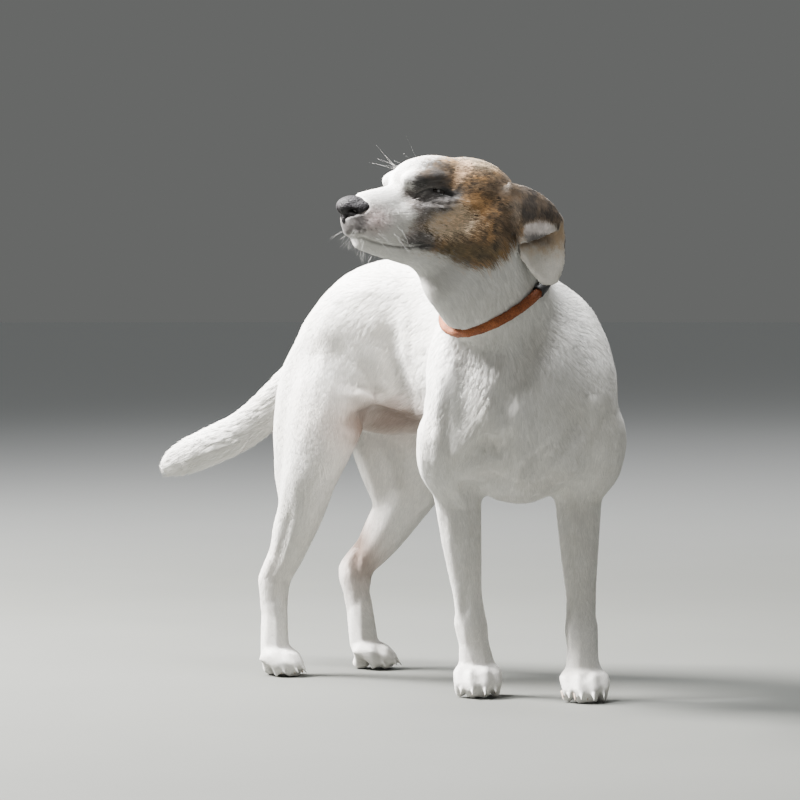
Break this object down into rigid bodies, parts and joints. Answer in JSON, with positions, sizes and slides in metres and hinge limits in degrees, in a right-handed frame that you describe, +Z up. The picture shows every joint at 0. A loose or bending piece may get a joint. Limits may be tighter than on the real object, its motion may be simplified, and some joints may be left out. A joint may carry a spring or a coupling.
{
  "type": "dog",
  "caption": "Life-size still model of a short-haired dog, white with a brindle patch over one eye and ear, standing with its head turned, wearing a rolled leather collar.",
  "frame": {"origin": "on the floor, at the middle of the model's bounding box", "axes": "+Z up; +X from the tail towards the breast, along the model's longest extent; +Y towards the dog's left side"},
  "size_m": [0.7976, 0.4258, 0.6729],
  "materials": {
    "coat": "short flat white hair with pinkish skin under it and a brindle patch on the left of the head",
    "nose_leather": "fine-grained, moist, blue-black",
    "eye": "dark brown, wet",
    "claw": "horn, pale brown",
    "whisker": "white bristle",
    "collar_leather": "rolled, rust-orange, worn rough",
    "keeper_leather": "black, worn",
    "steel": "dull nickel"
  },
  "bodies": {
    "root": {"head": "coat", "neck": "coat", "trunk": "coat", "tail": "coat", "leg_front_left": "coat", "leg_front_right": "coat", "leg_hind_left": "coat", "leg_hind_right": "coat", "paw_front_left": "coat", "paw_front_right": "coat", "paw_hind_left": "coat", "paw_hind_right": "coat", "ear_left": "coat", "ear_right": "coat", "nose": "nose_leather", "eye_left": "eye", "eye_right": "eye", "collar": "collar_leather", "collar_keeper": "keeper_leather", "collar_buckle": "steel"}
  },
  "joints": []
}
